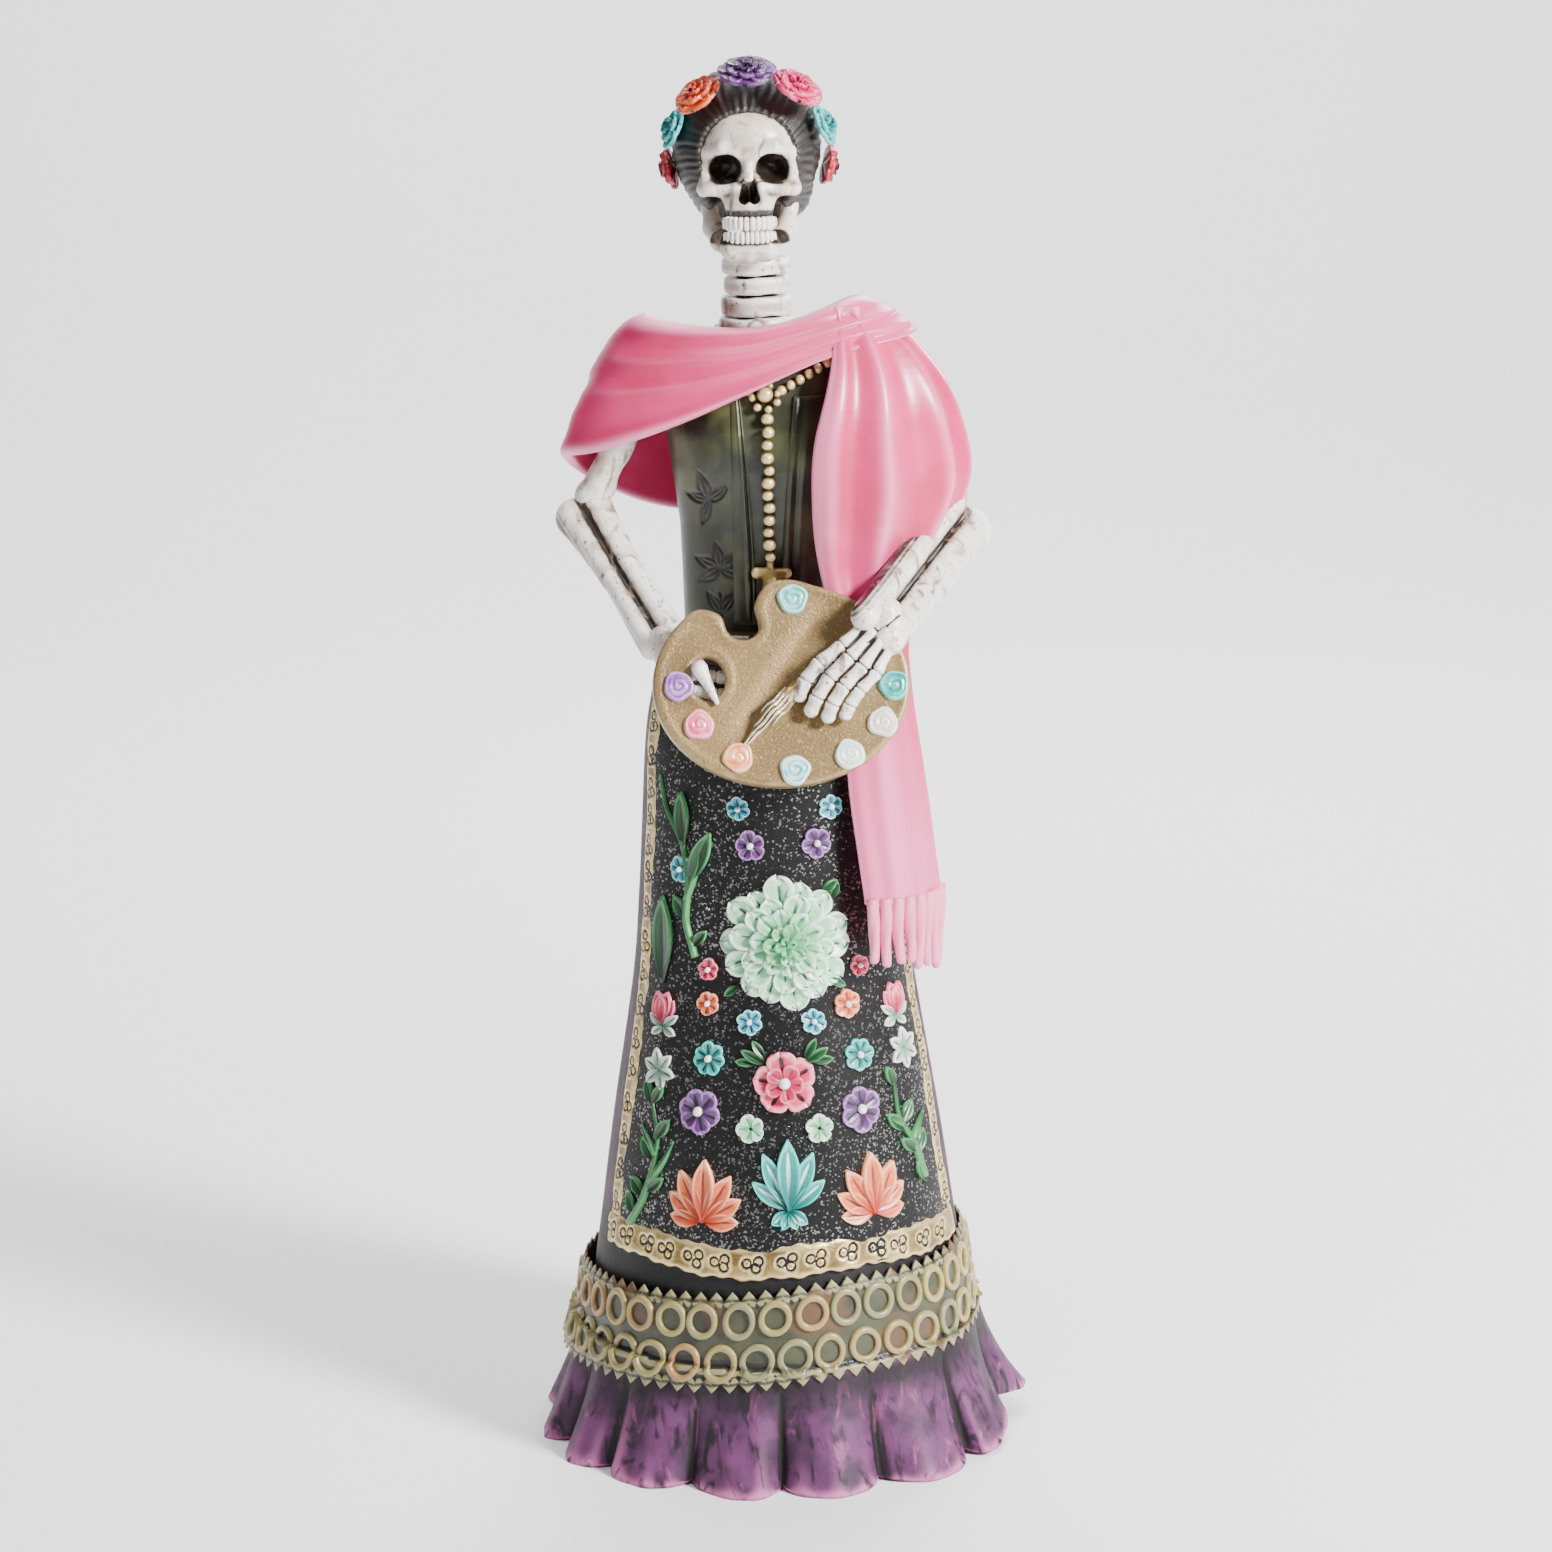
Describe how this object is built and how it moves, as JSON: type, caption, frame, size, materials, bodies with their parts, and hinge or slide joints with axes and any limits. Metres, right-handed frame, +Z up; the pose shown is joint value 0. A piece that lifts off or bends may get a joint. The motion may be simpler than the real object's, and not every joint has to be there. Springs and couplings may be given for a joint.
{
  "type": "skeleton artist figurine",
  "caption": "Standing painted papier-mache skeleton lady in a long flowered apron dress and shawl, holding a palette and a brush.",
  "frame": {"origin": "centre of the footprint, on the table", "axes": "+Z up; the figure faces -Y; +X is the figure's left-hand side"},
  "size_m": [0.1478, 0.1422, 0.4],
  "materials": {
    "armature_wood": "raw softwood",
    "felt": "pressed felt",
    "wire": "annealed wire",
    "purple_paint": "satin paint over paper, black patina",
    "lace_paint": "satin paint over card, dark wash",
    "ring_paint": "satin paint over card, rubbed highlights",
    "black_glitter": "black paint with silver glitter",
    "gold_paint": "antique gold paint, half gloss",
    "mint_paint": "satin paint",
    "magenta_paint": "satin paint",
    "violet_paint": "satin paint",
    "teal_paint": "satin paint",
    "aqua_paint": "satin paint",
    "orange_paint": "satin paint",
    "red_paint": "satin paint",
    "white_paint": "satin paint",
    "green_paint": "satin paint",
    "olive_paint": "lacquered olive paint, black patina",
    "bone_paint": "half-gloss bone white, black-brown wash in the grooves",
    "hair_paint": "black paint, half gloss",
    "shawl_paint": "rose paint, satin varnish"
  },
  "bodies": {
    "root": {"base_disc": "armature_wood", "felt_pad": "felt", "spine_dowel": "armature_wood", "waist_disc": "armature_wood", "arm_wires": "wire", "skirt_shell": "purple_paint", "flounce": "purple_paint", "lace_band": "lace_paint", "lace_rings": "ring_paint", "apron_panel": "black_glitter", "apron_hem_trim": "gold_paint", "apron_side_trims": "gold_paint", "dahlia": "mint_paint", "magenta_flower": "magenta_paint", "purple_flowers": "violet_paint", "teal_flowers": "teal_paint", "blue_flowers": "aqua_paint", "mint_flowers": "mint_paint", "red_flowers": "magenta_paint", "orange_flowers": "orange_paint", "orange_lotuses": "orange_paint", "teal_lily": "teal_paint", "tulips": "magenta_paint", "white_lilies": "white_paint", "vines": "green_paint", "leaf_sprigs": "green_paint", "flower_centres": "white_paint", "bodice": "olive_paint", "vest_panels": "olive_paint", "necklace_chain": "gold_paint", "necklace_ornament": "gold_paint", "necklace_strand": "gold_paint", "pendant": "gold_paint", "neck_vertebrae": "bone_paint", "skull": "bone_paint", "jaw": "bone_paint", "upper_teeth": "bone_paint", "lower_teeth": "bone_paint", "hair": "hair_paint", "crown_flower_purple": "violet_paint", "crown_flower_orange": "orange_paint", "crown_flower_pink": "magenta_paint", "crown_flowers_aqua": "aqua_paint", "crown_flowers_red": "red_paint", "right_upper_arm": "bone_paint", "right_forearm": "bone_paint", "right_hand": "bone_paint", "left_upper_arm": "bone_paint", "left_forearm": "bone_paint", "left_hand": "bone_paint", "palette": "gold_paint", "paint_dabs": "aqua_paint", "brush_handle": "gold_paint", "brush_bristles": "gold_paint", "shawl_wrap": "shawl_paint", "shawl_fall": "shawl_paint", "shawl_fringe": "shawl_paint"}
  },
  "joints": []
}
